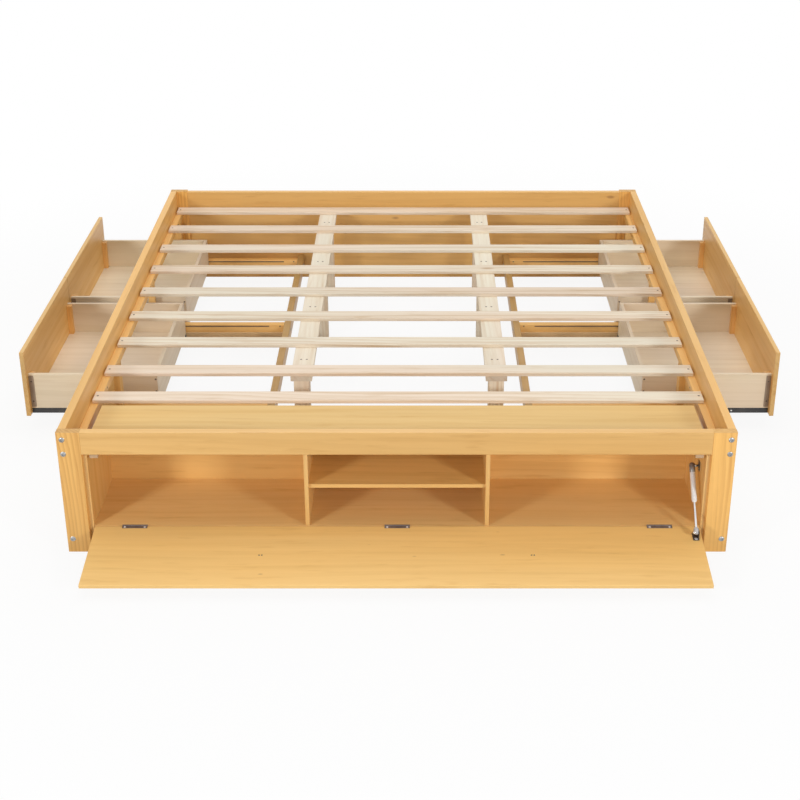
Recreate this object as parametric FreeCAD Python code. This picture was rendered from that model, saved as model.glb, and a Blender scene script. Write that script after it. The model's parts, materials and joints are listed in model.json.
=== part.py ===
import FreeCAD, Part
import math
import os

from FreeCAD import Vector

# A king-size platform bed in solid pine: a slatted frame on flat corner posts, a cabinet with a
# drop-down flap at the foot, and two drawers in each side.
# X runs across the bed, Y from foot to head, Z up. Depths are measured from the foot face and
# insets from the outer side face. The drawers and the flap stand open at rest.

# Overall size
bed_width = 1990.0
bed_length = 2090.0
bed_height = 412.0

# Frame boards
post_width = 70.0
rail_thickness = 25.0
foot_rail_height = 74.0
side_rail_height = 98.0
head_rail_thickness = 22.0
head_rail_height = 98.0
head_rail_drop = 4.0
head_panel_thickness = 12.0
head_panel_gap = 9.0
floor_gap = 22.0
lower_rail_height = 42.0
edge_round = 2.0
edge_ease = 1.2

# Slats and what carries them
mattress_recess = 70.0
slat_width = 60.0
slat_thickness = 12.0
slat_end_gap = 7.0
slat_count = 9
first_slat_gap = 33.0
first_slat_pitch = 185.0
last_slat_gap = 5.0
ledger_width = 25.0
ledger_height = 28.0
beam_width = 70.0
beam_thickness = 18.0
beam_spacing = 640.0
leg_width = 50.0
leg_length = 60.0
leg_place_shares = (0.0, 0.6, 0.89)

# Foot cabinet
cabinet_depth = 295.0
panel_thickness = 12.0
cabinet_floor_height = 83.0
side_recess = 12.0
middle_bay_width = 528.0
shelf_height = 222.0
shelf_recess = 10.0
plinth_thickness = 18.0
plinth_recess = 17.0
catch_width = 24.0
catch_height = 11.0
catch_length = 30.0
catch_inset = 8.0

# Flap with its hinges
flap_thickness = 12.0
flap_side_gap = 3.0
flap_top_gap = 2.0
flap_open_angle = 99.0
hinge_depth = 14.0
hinge_rise = 2.0
hinge_length = 76.0
hinge_leaf = 1.0
hinge_leaf_width = 12.0
hinge_knuckle_radius = 2.2
hinge_pin_radius = 1.1
hinge_pin_clearance = 0.05
hinge_gap = 0.4
hinge_inset = 123.0
hinge_knuckle_share = 0.34

# Gas strut
strut_inset = 22.0
strut_back = 80.0
strut_rise = 160.0
strut_reach = 50.0
strut_stand = 20.0
strut_tube_radius = 8.0
strut_rod_radius = 3.8
strut_rod_clearance = 0.08
strut_tube_wall = 1.5
strut_nose_length = 6.0
strut_nose_share = 0.65
strut_eye_radius = 6.0
strut_eye_width = 9.0
strut_neck_length = 14.0
strut_neck_radius = 4.0
strut_stud_radius = 3.0
strut_pivot_gap = 0.4
bracket_thickness = 2.0
bracket_width = 18.0
bracket_height = 30.0

# Drawers
drawer_travel = 307.0
drawer_front_thickness = 15.0
drawer_gap = 2.0
drawer_split_gap = 3.0
drawer_bay_start = 720.0
drawer_bay_end_gap = 65.0
drawer_wall_inset = 24.0
drawer_wall = 12.0
drawer_box_length = 446.0
drawer_box_base = 84.0
drawer_box_height = 133.0
drawer_floor_rise = 8.0
drawer_floor_thickness = 5.0
knob_radius = 15.0
knob_height = 22.0
knob_neck_share = 0.5
knob_place_share = 0.22

# Runners and guides
runner_space = 12.5
runner_sheet = 1.2
runner_clearance = 0.5
runner_flange = 9.0
roller_width = 6.0
roller_back = 12.0
guide_thickness = 25.0
guide_height = 52.0
guide_reach = 536.0
stile_depth = 40.0
stile_width = 40.0
infill_thickness = 15.0
infill_recess = 5.0

overrun = 5.0

# Levels and places that follow from the sizes above
half_width = bed_width / 2
post_inner = half_width - post_width
slat_top = bed_height - mattress_recess
slat_base = slat_top - slat_thickness
lower_rail_top = floor_gap + lower_rail_height
side_rail_base = bed_height - side_rail_height
foot_rail_base = bed_height - foot_rail_height
cabinet_half = post_inner - panel_thickness
cabinet_roof = slat_top - panel_thickness
rear_post_depth = bed_length - rail_thickness
head_face_depth = bed_length - head_rail_thickness
hinge_height = cabinet_floor_height + hinge_rise
flap_height = foot_rail_base - flap_top_gap - hinge_height
open_angle = math.radians(flap_open_angle)
flap_reach = flap_height * math.sin(open_angle) - hinge_depth
front_y = (flap_reach - bed_length) / 2
bay_end = bed_length - drawer_bay_end_gap
drawer_length = (bay_end - drawer_bay_start - 3 * drawer_split_gap) / 2
drawer_base = lower_rail_top + drawer_gap
drawer_top = side_rail_base - drawer_gap
sides = (("left", -1), ("right", 1))
places = ("foot", "head")

os.makedirs("parts", exist_ok=True)


def save(name, *solids):
    shape = solids[0] if len(solids) == 1 else Part.makeCompound(list(solids))
    shape.exportStep("parts/" + name + ".step")


def span(x0, x1, d0, d1, z0, z1):
    corner = Vector(min(x0, x1), front_y + d0, z0)
    return Part.makeBox(abs(x1 - x0), d1 - d0, z1 - z0, corner)


def block(side, inset0, inset1, d0, d1, z0, z1):
    return span(side * (half_width - inset0), side * (half_width - inset1), d0, d1, z0, z1)


def long_edges(board):
    longest = max(edge.Length for edge in board.Edges)
    return [edge for edge in board.Edges if abs(edge.Length - longest) < edge_round]


def soften(board):
    # Rounds the long edges of a frame board that hands and legs touch.
    return board.makeFillet(edge_round, long_edges(board))


def ease(board):
    # Takes the sharpness off the long edges with a small chamfer.
    return board.makeChamfer(edge_ease, long_edges(board))


def profile_along_x(points, x0, x1):
    # Extrudes an outline of (depth, height) points from x0 to x1.
    corners = [Vector(min(x0, x1), front_y + depth, height) for depth, height in points]
    face = Part.Face(Part.makePolygon(corners + corners[:1]))
    return face.extrude(Vector(abs(x1 - x0), 0, 0))


def rod_between(start, end, radius):
    return Part.makeCylinder(radius, (end - start).Length, start, end - start)


def turned(points, base, axis):
    # Revolves an outline of (radius, height) points about an axis through base.
    corners = [Vector(radius, 0, height) for radius, height in points]
    face = Part.Face(Part.makePolygon(corners + corners[:1]))
    solid = face.revolve(Vector(0, 0, 0), Vector(0, 0, 1), 360)
    solid.Placement = FreeCAD.Placement(base, FreeCAD.Rotation(Vector(0, 0, 1), axis))
    return solid


def make_posts():
    for name, side in sides:
        for place, depth in zip(places, (0, rear_post_depth)):
            post = block(side, 0, post_width, depth, depth + rail_thickness, 0, bed_height)
            save("post_" + place + "_" + name, soften(post))


def make_rails():
    foot = span(-post_inner, post_inner, 0, rail_thickness, foot_rail_base, bed_height)
    save("foot_rail", soften(foot))
    head_top = bed_height - head_rail_drop
    head_base = head_top - head_rail_height
    head = span(-post_inner, post_inner, head_face_depth, bed_length, head_base, head_top)
    save("head_rail", soften(head))
    panel_depth = bed_length - head_panel_thickness
    save("head_panel", span(-post_inner, post_inner, panel_depth, bed_length, head_panel_gap, head_base))
    lower = []
    for name, side in sides:
        upper = block(side, 0, rail_thickness, rail_thickness, rear_post_depth, side_rail_base, bed_height)
        save("side_rail_" + name, soften(upper))
        base = block(side, 0, rail_thickness, rail_thickness, rear_post_depth, floor_gap, lower_rail_top)
        lower.append(ease(base))
    plinth_back = plinth_recess + plinth_thickness
    plinth_top = cabinet_floor_height - panel_thickness
    plinth = span(-post_inner, post_inner, plinth_recess, plinth_back, floor_gap, plinth_top)
    save("lower_rails", *lower, ease(plinth))


def make_side_infill():
    # Stiles are notched at the top round the ledger. The middle one stands behind the drawer fronts.
    stiles = []
    panels = []
    ledgers = []
    ledger_base = slat_base - ledger_height
    middle = (drawer_bay_start + bay_end) / 2
    guide_half = guide_thickness / 2
    middle_inset = drawer_front_thickness + drawer_gap
    spans = [(drawer_bay_start - stile_width, drawer_bay_start, 0)]
    spans.append((middle - guide_half, middle + guide_half, middle_inset))
    spans.append((bay_end, rear_post_depth, 0))
    for name, side in sides:
        inner = rail_thickness + ledger_width
        notch = block(side, rail_thickness, inner, 0, bed_length, ledger_base, slat_base)
        for start, end, inset in spans:
            stile = block(side, inset, stile_depth, start, end, lower_rail_top, side_rail_base)
            stiles.append(stile.cut(notch))
        first_stile = drawer_bay_start - stile_width
        back = infill_recess + infill_thickness
        panel = block(side, infill_recess, back, rail_thickness, first_stile, lower_rail_top, side_rail_base)
        panels.append(panel)
        ledger = block(side, rail_thickness, inner, rail_thickness, rear_post_depth, ledger_base, slat_base)
        ledgers.append(ease(ledger))
    save("side_panels", *panels)
    save("side_stiles", *stiles)
    save("slat_ledgers", *ledgers)


def slat_depths():
    # The first slat stands close behind the cabinet and the rest are evenly spaced to the head.
    first = cabinet_depth + first_slat_gap
    second = first + first_slat_pitch
    last = rear_post_depth - last_slat_gap - slat_width
    pitch = (last - second) / (slat_count - 2)
    return [first] + [second + pitch * step for step in range(slat_count - 1)]


def make_slats():
    reach = half_width - rail_thickness - slat_end_gap
    for number, depth in enumerate(slat_depths(), 1):
        slat = span(-reach, reach, depth, depth + slat_width, slat_base, slat_top)
        save("slat_" + str(number), ease(slat))


def make_centre_supports():
    # Two flat beams under the slats, each on three square legs.
    beams = []
    legs = []
    start = slat_depths()[1]
    beam_base = slat_base - beam_thickness
    for name, side in sides:
        middle = side * beam_spacing / 2
        half = beam_width / 2
        beam = span(middle - half, middle + half, start, head_face_depth, beam_base, slat_base)
        beams.append(ease(beam))
        for share in leg_place_shares:
            foot = start + share * (head_face_depth - start)
            half_leg = leg_width / 2
            leg = span(middle - half_leg, middle + half_leg, foot, foot + leg_length, 0, beam_base)
            legs.append(ease(leg))
    save("centre_beams", *beams)
    save("centre_legs", *legs)


def make_cabinet():
    back_face = cabinet_depth - panel_thickness
    floor_base = cabinet_floor_height - panel_thickness
    floor_front = hinge_depth + hinge_leaf + hinge_gap
    half_bay = middle_bay_width / 2
    roof = span(-post_inner, post_inner, rail_thickness, cabinet_depth, cabinet_roof, slat_top)
    save("cabinet_top", ease(roof))
    ends = []
    dividers = []
    catches = []
    for name, side in sides:
        inner = side * cabinet_half
        end = span(inner, side * post_inner, side_recess, cabinet_depth, floor_base, cabinet_roof)
        ends.append(end)
        near_face = side * half_bay
        far_face = side * (half_bay + panel_thickness)
        front = floor_front + edge_ease
        divider = span(near_face, far_face, front, back_face, cabinet_floor_height, cabinet_roof)
        dividers.append(divider)
        outer = cabinet_half - catch_inset
        low = cabinet_roof - catch_height
        catch_front = hinge_depth
        catch_back = catch_front + catch_length
        catch = span(side * outer, side * (outer - catch_width), catch_front, catch_back, low, cabinet_roof)
        catches.append(catch)
    save("cabinet_sides", *ends)
    floor = span(-cabinet_half, cabinet_half, floor_front, back_face, floor_base, cabinet_floor_height)
    save("cabinet_floor", floor)
    back = span(-cabinet_half, cabinet_half, back_face, cabinet_depth, floor_base, cabinet_roof)
    save("cabinet_back", back)
    save("cabinet_dividers", *dividers)
    shelf_base = shelf_height - panel_thickness
    shelf_front = floor_front + shelf_recess
    save("cabinet_shelf", span(-half_bay, half_bay, shelf_front, back_face, shelf_base, shelf_height))
    save("flap_catches", *catches)


def knob(base, axis):
    # A turned knob with a waist and a flat-topped head.
    neck = knob_radius * knob_neck_share
    shoulder = knob_height * knob_neck_share
    outline = [(0, 0), (neck, 0), (neck, shoulder), (knob_radius, shoulder)]
    outline += [(knob_radius, knob_height - edge_round), (knob_radius - edge_round, knob_height)]
    outline.append((0, knob_height))
    return turned(outline, base, axis)


def opened(solid):
    # Swings a piece from the closed place of the flap to the open place it has at rest.
    solid.rotate(Vector(0, front_y + hinge_depth, hinge_height), Vector(1, 0, 0), flap_open_angle)
    return solid


def hinge_places():
    outer = cabinet_half - hinge_inset
    return (-outer, 0, outer)


def hinge_knuckle(x0, x1):
    axis_point = Vector(x0, front_y + hinge_depth, hinge_height)
    return Part.makeCylinder(hinge_knuckle_radius, x1 - x0, axis_point, Vector(1, 0, 0))


def make_flap():
    half = cabinet_half - flap_side_gap
    inner = hinge_depth - hinge_leaf
    base = hinge_height + hinge_knuckle_radius + hinge_gap
    top = hinge_height + flap_height
    panel = span(-half, half, inner - flap_thickness, inner, base, top)
    pieces = [opened(ease(panel))]
    middle = (base + top) / 2
    for sign in (-1, 1):
        x = sign * knob_place_share * 2 * half
        face = Vector(x, front_y + inner - flap_thickness, middle)
        pieces.append(opened(knob(face, Vector(0, -1, 0))))
    save("flap", *pieces)


def make_hinges():
    # Outer knuckles and pin belong to the fixed leaf, the middle knuckle to the leaf on the flap.
    fixed = []
    moving = []
    knuckle = hinge_length * hinge_knuckle_share
    pin_hole = hinge_pin_radius + hinge_pin_clearance
    half = hinge_length / 2
    for middle in hinge_places():
        low = middle - half
        high = middle + half
        axis_point = Vector(low, front_y + hinge_depth, hinge_height)
        pin = Part.makeCylinder(hinge_pin_radius, hinge_length, axis_point, Vector(1, 0, 0))
        bore = Part.makeCylinder(pin_hole, hinge_length, axis_point, Vector(1, 0, 0))
        inner_low = low + knuckle
        inner_high = high - knuckle
        leaf_front = hinge_depth + hinge_gap
        leaf_back = leaf_front + hinge_leaf
        leaf_base = hinge_height - hinge_leaf_width
        leaf = span(low, high, leaf_front, leaf_back, leaf_base, hinge_height)
        slot = hinge_knuckle(inner_low - hinge_gap, inner_high + hinge_gap)
        slot = slot.fuse(span(inner_low, inner_high, 0, bed_length, hinge_height - hinge_rise, bed_height))
        body = leaf.cut(slot).fuse([hinge_knuckle(low, inner_low), hinge_knuckle(inner_high, high), pin])
        fixed.append(body.removeSplitter())
        start = inner_low + hinge_gap
        end = inner_high - hinge_gap
        plate_base = hinge_height + hinge_knuckle_radius + hinge_gap
        plate_top = hinge_height + hinge_leaf_width
        plate = span(low, high, hinge_depth - hinge_leaf, hinge_depth, plate_base, plate_top)
        tongue = span(start, end, hinge_depth - hinge_leaf, hinge_depth, hinge_height, plate_top)
        swing = plate.fuse([tongue, hinge_knuckle(start, end)]).cut(bore).removeSplitter()
        moving.append(opened(swing))
    save("flap_hinge_fixed", *fixed)
    save("flap_hinge_moving", *moving)


def strut_points():
    # Upper pivot on the cabinet side, lower pivot on the open flap.
    x = cabinet_half - strut_inset
    upper = Vector(x, front_y + hinge_depth + strut_back, hinge_height + strut_rise)
    swing = FreeCAD.Rotation(Vector(1, 0, 0), flap_open_angle)
    arm = swing.multVec(Vector(0, strut_stand, strut_reach))
    lower = Vector(x, front_y + hinge_depth, hinge_height) + arm
    return upper, lower


def eye(point, along):
    # A flat round eye with a neck that points along the strut.
    half = strut_eye_width / 2
    disc = Part.makeCylinder(strut_eye_radius, strut_eye_width, point - Vector(half, 0, 0), Vector(1, 0, 0))
    neck = Part.makeCylinder(strut_neck_radius, strut_neck_length, point, along)
    return disc.fuse(neck)


def make_strut():
    upper, lower = strut_points()
    along = (lower - upper).normalize()
    half_eye = strut_eye_width / 2
    wall_x = cabinet_half
    # Wall bracket with its stud, which ends just short of the eye.
    back = bracket_width / 2
    deep = upper.y - front_y
    rise = bracket_height / 2
    wall_face = wall_x - bracket_thickness
    base = span(wall_face, wall_x, deep - back, deep + back, upper.z - rise, upper.z + rise)
    stud_end = upper + Vector(half_eye + strut_pivot_gap, 0, 0)
    stud_start = Vector(wall_face, upper.y, upper.z)
    save("strut_wall_bracket", base.fuse(rod_between(stud_start, stud_end, strut_stud_radius)))
    # Cylinder with a stepped nose, bored for the rod.
    tube_start = upper + along * strut_neck_length
    tube_end = strut_closed_length() - 2 * strut_neck_length - strut_pivot_gap
    nose = strut_tube_radius * strut_nose_share
    outline = [(0, 0), (strut_tube_radius, 0), (strut_tube_radius, tube_end - strut_nose_length)]
    outline += [(nose, tube_end), (0, tube_end)]
    bore_radius = strut_rod_radius + strut_rod_clearance
    bore_start = tube_start + along * strut_tube_wall
    bore = rod_between(bore_start, tube_start + along * (tube_end + overrun), bore_radius)
    tube = turned(outline, tube_start, along).fuse(eye(upper, along)).cut(bore)
    save("strut_cylinder", tube)
    # Rod from inside the cylinder to the lower eye.
    full = (lower - upper).Length
    closed_point = strut_closed_length()
    rod_start = upper + along * (strut_neck_length + strut_tube_wall + full - closed_point + strut_pivot_gap)
    rod = rod_between(rod_start, lower - along * strut_neck_length, strut_rod_radius)
    save("strut_rod", rod.fuse(eye(lower, along * -1)))
    # Flap bracket: a plate on the flap and a standing tab with the stud, modelled closed, then opened.
    closed_y = hinge_depth + strut_stand
    closed_z = hinge_height + strut_reach
    tab_x = lower.x + half_eye + strut_pivot_gap + bracket_thickness
    tab_end = tab_x + bracket_thickness
    inner = hinge_depth - hinge_leaf
    low = closed_z - rise
    high = closed_z + rise
    plate = span(lower.x - back, tab_end, inner, inner + bracket_thickness, low, high)
    tab_tip = closed_y + strut_stud_radius + bracket_thickness
    tab = span(tab_x, tab_end, inner, tab_tip, closed_z - back, closed_z + back)
    pivot = Vector(lower.x + half_eye + strut_pivot_gap, front_y + closed_y, closed_z)
    stud = Part.makeCylinder(strut_stud_radius, bracket_thickness, pivot, Vector(1, 0, 0))
    save("strut_flap_bracket", opened(plate.fuse([tab, stud]).removeSplitter()))


def strut_closed_length():
    # Distance between the pivots when the flap is shut.
    return math.hypot(strut_back - strut_stand, strut_rise - strut_reach)


def runner_pair(side, wall_face, outward):
    # The moving runner lies under a drawer wall and carries a roller at the back end.
    low = drawer_base
    high = drawer_box_base
    near = wall_face + outward * runner_sheet
    outline = [(near, low), (near, high), (wall_face - outward * runner_flange, high)]
    outline += [(wall_face - outward * runner_flange, high - runner_sheet)]
    outline += [(wall_face, high - runner_sheet), (wall_face, low)]
    front = drawer_front_thickness - drawer_travel
    back = front + drawer_box_length
    x0 = side * (half_width - front)
    x1 = side * (half_width - back)
    rail = profile_along_x(outline, x0, x1)
    middle = (low + high) / 2
    roller_radius = (high - low) / 2
    hub = Vector(side * (half_width - back + roller_back), front_y + near, middle)
    roller = Part.makeCylinder(roller_radius, roller_width, hub, Vector(0, outward, 0))
    # The fixed runner is a channel on the guide board, open towards the drawer.
    guide_face = wall_face + outward * runner_space
    lip = guide_face - outward * runner_flange
    floor = low - runner_clearance
    ceiling = high + runner_clearance
    web = guide_face - outward * runner_sheet
    channel = [(guide_face, floor - runner_sheet), (guide_face, ceiling + runner_sheet)]
    channel += [(lip, ceiling + runner_sheet), (lip, ceiling), (web, ceiling)]
    channel += [(web, floor), (lip, floor), (lip, floor - runner_sheet)]
    start = side * (half_width - stile_depth)
    end = side * (half_width - guide_reach)
    return rail.fuse(roller), profile_along_x(channel, start, end)


def make_drawers():
    fixed_runners = []
    for name, side in sides:
        for number, place in enumerate(places):
            start = drawer_bay_start + drawer_split_gap + number * (drawer_length + drawer_split_gap)
            end = start + drawer_length
            label = "drawer_" + name + "_" + place + "_"
            fixed_runners += make_drawer(label, side, start, end)
    save("fixed_runners", *fixed_runners)


def make_drawer(label, side, start, end):
    outer = -drawer_travel
    inner = outer + drawer_front_thickness
    panel = block(side, outer, inner, start, end, drawer_base, drawer_top)
    pieces = [ease(panel)]
    middle = (start + end) / 2
    height = (drawer_base + drawer_top) / 2
    for sign in (-1, 1):
        place = middle + sign * knob_place_share * drawer_length
        face = Vector(side * (half_width - outer), front_y + place, height)
        pieces.append(knob(face, Vector(side, 0, 0)))
    save(label + "front", *pieces)
    # The box: two walls, a back between them and a thin bottom let in above their lower edge.
    back = inner + drawer_box_length
    top = drawer_box_base + drawer_box_height
    near = start + drawer_wall_inset
    far = end - drawer_wall_inset
    near_wall = block(side, inner, back, near, near + drawer_wall, drawer_box_base, top)
    far_wall = block(side, inner, back, far - drawer_wall, far, drawer_box_base, top)
    save(label + "sides", ease(near_wall), ease(far_wall))
    near_inner = near + drawer_wall
    far_inner = far - drawer_wall
    end_face = back - drawer_wall
    save(label + "back", block(side, end_face, back, near_inner, far_inner, drawer_box_base, top))
    floor = drawer_box_base + drawer_floor_rise
    floor_top = floor + drawer_floor_thickness
    save(label + "bottom", block(side, inner, end_face, near_inner, far_inner, floor, floor_top))
    near_rail, near_channel = runner_pair(side, near, -1)
    far_rail, far_channel = runner_pair(side, far, 1)
    save(label + "runners", near_rail, far_rail)
    return [near_channel, far_channel]


def make_guides():
    # Boards across the bed that carry the fixed runners, and the rails that their inner ends meet.
    guides = []
    guide_top = lower_rail_top + guide_height
    near_face = drawer_bay_start + drawer_split_gap + drawer_wall_inset - runner_space
    far_face = bay_end - drawer_split_gap - drawer_wall_inset + runner_space
    middle = (drawer_bay_start + bay_end) / 2
    starts = (near_face - guide_thickness, middle - guide_thickness / 2, far_face)
    inner = guide_reach + rail_thickness
    back = bed_length - head_panel_thickness
    for name, side in sides:
        for start in starts:
            end = start + guide_thickness
            guide = block(side, stile_depth, guide_reach, start, end, lower_rail_top, guide_top)
            guides.append(ease(guide))
        rail = block(side, guide_reach, inner, cabinet_depth, back, lower_rail_top, guide_top)
        guides.append(ease(rail))
    save("drawer_guides", *guides)


make_posts()
make_rails()
make_side_infill()
make_slats()
make_centre_supports()
make_cabinet()
make_flap()
make_hinges()
make_strut()
make_drawers()
make_guides()
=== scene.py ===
import json
import math
import bpy
import bmesh
import numpy as np
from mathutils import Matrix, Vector


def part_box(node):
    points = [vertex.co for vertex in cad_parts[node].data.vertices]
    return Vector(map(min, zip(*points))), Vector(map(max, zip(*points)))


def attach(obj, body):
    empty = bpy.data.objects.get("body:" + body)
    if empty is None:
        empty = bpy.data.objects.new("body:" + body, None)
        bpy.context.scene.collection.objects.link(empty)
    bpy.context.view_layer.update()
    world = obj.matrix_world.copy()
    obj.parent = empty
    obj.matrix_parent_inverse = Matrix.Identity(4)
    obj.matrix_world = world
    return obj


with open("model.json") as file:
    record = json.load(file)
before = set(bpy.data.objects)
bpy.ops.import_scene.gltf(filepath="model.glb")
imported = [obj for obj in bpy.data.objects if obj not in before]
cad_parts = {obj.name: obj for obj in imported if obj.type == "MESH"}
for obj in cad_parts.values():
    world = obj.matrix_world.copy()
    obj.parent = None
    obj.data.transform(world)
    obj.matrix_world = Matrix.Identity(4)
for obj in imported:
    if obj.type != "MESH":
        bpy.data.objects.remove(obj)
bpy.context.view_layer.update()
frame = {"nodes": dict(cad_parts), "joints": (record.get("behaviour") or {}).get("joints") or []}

print("frame loaded:", len(frame["nodes"]), "nodes")
joints = {joint["name"]: joint for joint in frame["joints"]}
drawerBodies = ["drawer_left_foot", "drawer_left_head", "drawer_right_foot", "drawer_right_head"]
bothSides = (("Left", -1), ("Right", 1))


def low(node):
    return np.array(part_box(node)[0])


def high(node):
    return np.array(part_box(node)[1])


def nearestToMiddle(node):
    # Smallest distance of a node's corners from the bed's middle plane
    return float(min(abs(vertex.co.x) for vertex in frame["nodes"][node].data.vertices))


# Node helpers for the finishes

colourSockets = dict(factor=0, first=6, second=7, result=2)  # places of the sockets on a mix node
vectorSockets = dict(factor=0, first=4, second=5, result=1)
valueSockets = dict(factor=0, first=2, second=3, result=0)


def opaque(red, green, blue):
    return (red, green, blue, 1.0)


def startFinish(name):
    finish = bpy.data.materials.new(name)
    finish.use_nodes = True
    return finish, finish.node_tree, finish.node_tree.nodes["Principled BSDF"]


def add(tree, kind, values=None, **settings):
    node = tree.nodes.new(kind)
    for key, value in settings.items():
        setattr(node, key, value)
    for key, value in (values or {}).items():
        if isinstance(value, bpy.types.NodeSocket):
            tree.links.new(value, node.inputs[key])
        else:
            node.inputs[key].default_value = value
    return node


def maths(tree, operation, first, second=0.0, third=0.0):
    return add(tree, "ShaderNodeMath", {0: first, 1: second, 2: third}, operation=operation).outputs[0]


def mixed(tree, sockets, factor, first, second, **settings):
    values = {sockets["factor"]: factor, sockets["first"]: first, sockets["second"]: second}
    return add(tree, "ShaderNodeMix", values, **settings).outputs[sockets["result"]]


def blendColour(tree, factor, first, second, mode="MIX"):
    return mixed(tree, colourSockets, factor, first, second, data_type="RGBA", blend_type=mode)


def rangeOf(tree, value, before, after, smooth=True):
    # The span before is carried over to the span after
    style = "SMOOTHSTEP" if smooth else "LINEAR"
    ends = ("From Min", "From Max", "To Min", "To Max")
    values = dict(zip(ends, (*before, *after)), Value=value)
    return add(tree, "ShaderNodeMapRange", values, interpolation_type=style).outputs["Result"]


def seenShare(tree):
    # One for what the camera sees, straight, by a gloss or through glass, and nought for light
    rays = add(tree, "ShaderNodeLightPath")
    seen = maths(tree, "MAXIMUM", rays.outputs["Is Camera Ray"], rays.outputs["Is Glossy Ray"])
    return maths(tree, "MAXIMUM", seen, rays.outputs["Is Transmission Ray"])


# Wood finishes: colours are written as they should look under plain light

pineLook = dict(
    pale=opaque(0.81, 0.515, 0.190), deep=opaque(0.62, 0.330, 0.085), warm=opaque(0.82, 0.475, 0.145),
    knot=opaque(0.34, 0.15, 0.05), ringScale=22.0, ringDepth=0.20, streakDepth=0.34, flameDepth=0.42,
    fibreDepth=0.12, warmDepth=0.65, knotSize=0.023, knotChance=0.80, knotDepth=0.60, knotDensity=1.0,
    rough=(0.40, 0.52), bump=0.05, coat=0.12, endShade=0.82, paintedTopLight=1.0)
postLook = dict(
    pineLook, pale=opaque(0.90, 0.515, 0.138), deep=opaque(0.58, 0.265, 0.053), ringScale=42.0,
    ringDepth=0.48, flameDepth=0.20)
blockLook = dict(postLook, pale=opaque(0.90, 0.525, 0.188), deep=opaque(0.62, 0.300, 0.078), ringDepth=0.40)
ledgerLook = dict(postLook, pale=opaque(0.80, 0.480, 0.155), deep=opaque(0.54, 0.265, 0.060), ringDepth=0.40)
# Rails: their tops are painted a tenth paler, painted light from above
railLook = dict(
    pineLook, pale=opaque(0.77, 0.47, 0.160), deep=opaque(0.59, 0.305, 0.075),
    warm=opaque(0.78, 0.435, 0.122), ringDepth=0.13, paintedTopLight=1.10)
panelLook = dict(
    pineLook, pale=opaque(0.775, 0.518, 0.200), deep=opaque(0.59, 0.335, 0.096),
    warm=opaque(0.785, 0.480, 0.153), ringDepth=0.10, streakDepth=0.26, flameDepth=0.30, fibreDepth=0.10,
    rough=(0.60, 0.72), coat=0.02)
floorLook = dict(
    pineLook, pale=opaque(0.82, 0.545, 0.225), deep=opaque(0.63, 0.360, 0.110),
    warm=opaque(0.83, 0.510, 0.180), ringDepth=0.09, streakDepth=0.28, flameDepth=0.36, fibreDepth=0.09)
backLook = dict(
    pineLook, pale=opaque(0.89, 0.575, 0.218), deep=opaque(0.69, 0.372, 0.100),
    warm=opaque(0.90, 0.532, 0.167))
flapLook = dict(
    pineLook, pale=opaque(0.89, 0.585, 0.215), deep=opaque(0.68, 0.380, 0.104),
    warm=opaque(0.90, 0.548, 0.172), ringDepth=0.09, streakDepth=0.24, flameDepth=0.30, fibreDepth=0.09,
    knotDensity=3.2, knotSize=0.036, knotChance=0.40, knotDepth=0.50)
slatLook = dict(
    pale=opaque(0.82, 0.750, 0.605), deep=opaque(0.63, 0.465, 0.300), warm=opaque(0.83, 0.680, 0.540),
    knot=opaque(0.46, 0.28, 0.15), ringScale=34.0, ringDepth=0.46, streakDepth=0.60, flameDepth=0.42,
    fibreDepth=0.14, warmDepth=0.90, knotSize=0.040, knotChance=0.76, knotDepth=0.70, knotDensity=1.0,
    rough=(0.68, 0.80), bump=0.10, coat=0.0, endShade=0.80, paintedTopLight=1.0)
beamLook = dict(slatLook, ringDepth=0.18, streakDepth=0.34, flameDepth=0.26)
boxLook = dict(
    pale=opaque(0.82, 0.715, 0.53), deep=opaque(0.66, 0.530, 0.355), warm=opaque(0.80, 0.665, 0.51),
    knot=opaque(0.50, 0.32, 0.18), ringScale=14.0, ringDepth=0.20, streakDepth=0.24, flameDepth=0.26,
    fibreDepth=0.12, warmDepth=0.80, knotSize=0.030, knotChance=0.86, knotDepth=0.60, knotDensity=1.0,
    rough=(0.44, 0.56), bump=0.05, coat=0.04, endShade=0.86, paintedTopLight=1.0)

# Shared by all woods: scales with and across the grain per metre, and the spans of noise that show
grainLook = dict(
    warpAlong=0.55, warpAcross=3.2, warpDetail=2.0, warpPush=0.085,
    slowAlong=0.5, slowAcross=4.0, slowDetail=2.0, slowSpan=(0.35, 0.65), slowTone=(0.95, 1.05),
    streakAlong=0.9, streakAcross=46.0, streakDetail=4.0, streakSpan=(0.42, 0.74),
    flameAlong=7.0, flameAcross=62.0, flameDetail=3.0, flameSpan=(0.56, 0.76),
    fibreAlong=9.0, fibreAcross=520.0, fibreDetail=2.0, fibreSpan=(0.45, 0.75), fibreRelief=-0.6,
    ringAlong=0.03, ringAcross=1.0, ringSpan=(0.25, 1.0), patchSpan=(0.40, 0.62), patchTone=(0.1, 1.0),
    knotAlong=2.4, knotAcross=7.0, knotSpread=2.4, knotRelief=0.4, warmSpan=(0.36, 0.64),
    endSpan=(0.85, 0.97), paintedTopSpan=(0.70, 0.95), roughSpan=(0.3, 0.7), coatRough=0.28, bumpDistance=0.002)
ringWave = {"Distortion": 3.0, "Detail": 3.0, "Detail Scale": 1.7, "Detail Roughness": 0.6}


def alongGrain(tree, coords, axis, seed):
    # Board space: first value runs with the grain, the other two across it, in metres
    parts = add(tree, "ShaderNodeSeparateXYZ", {0: coords})
    order = {"X": "XYZ", "Y": "YZX", "Z": "ZXY"}[axis]
    grain = [parts.outputs[letter] for letter in order]
    shifted = maths(tree, "ADD", grain[0], seed)
    return add(tree, "ShaderNodeCombineXYZ", {0: shifted, 1: grain[1], 2: grain[2]}).outputs[0]


def onVectors(tree, operation, first, second):
    return add(tree, "ShaderNodeVectorMath", {0: first, 1: second}, operation=operation).outputs[0]


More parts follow.
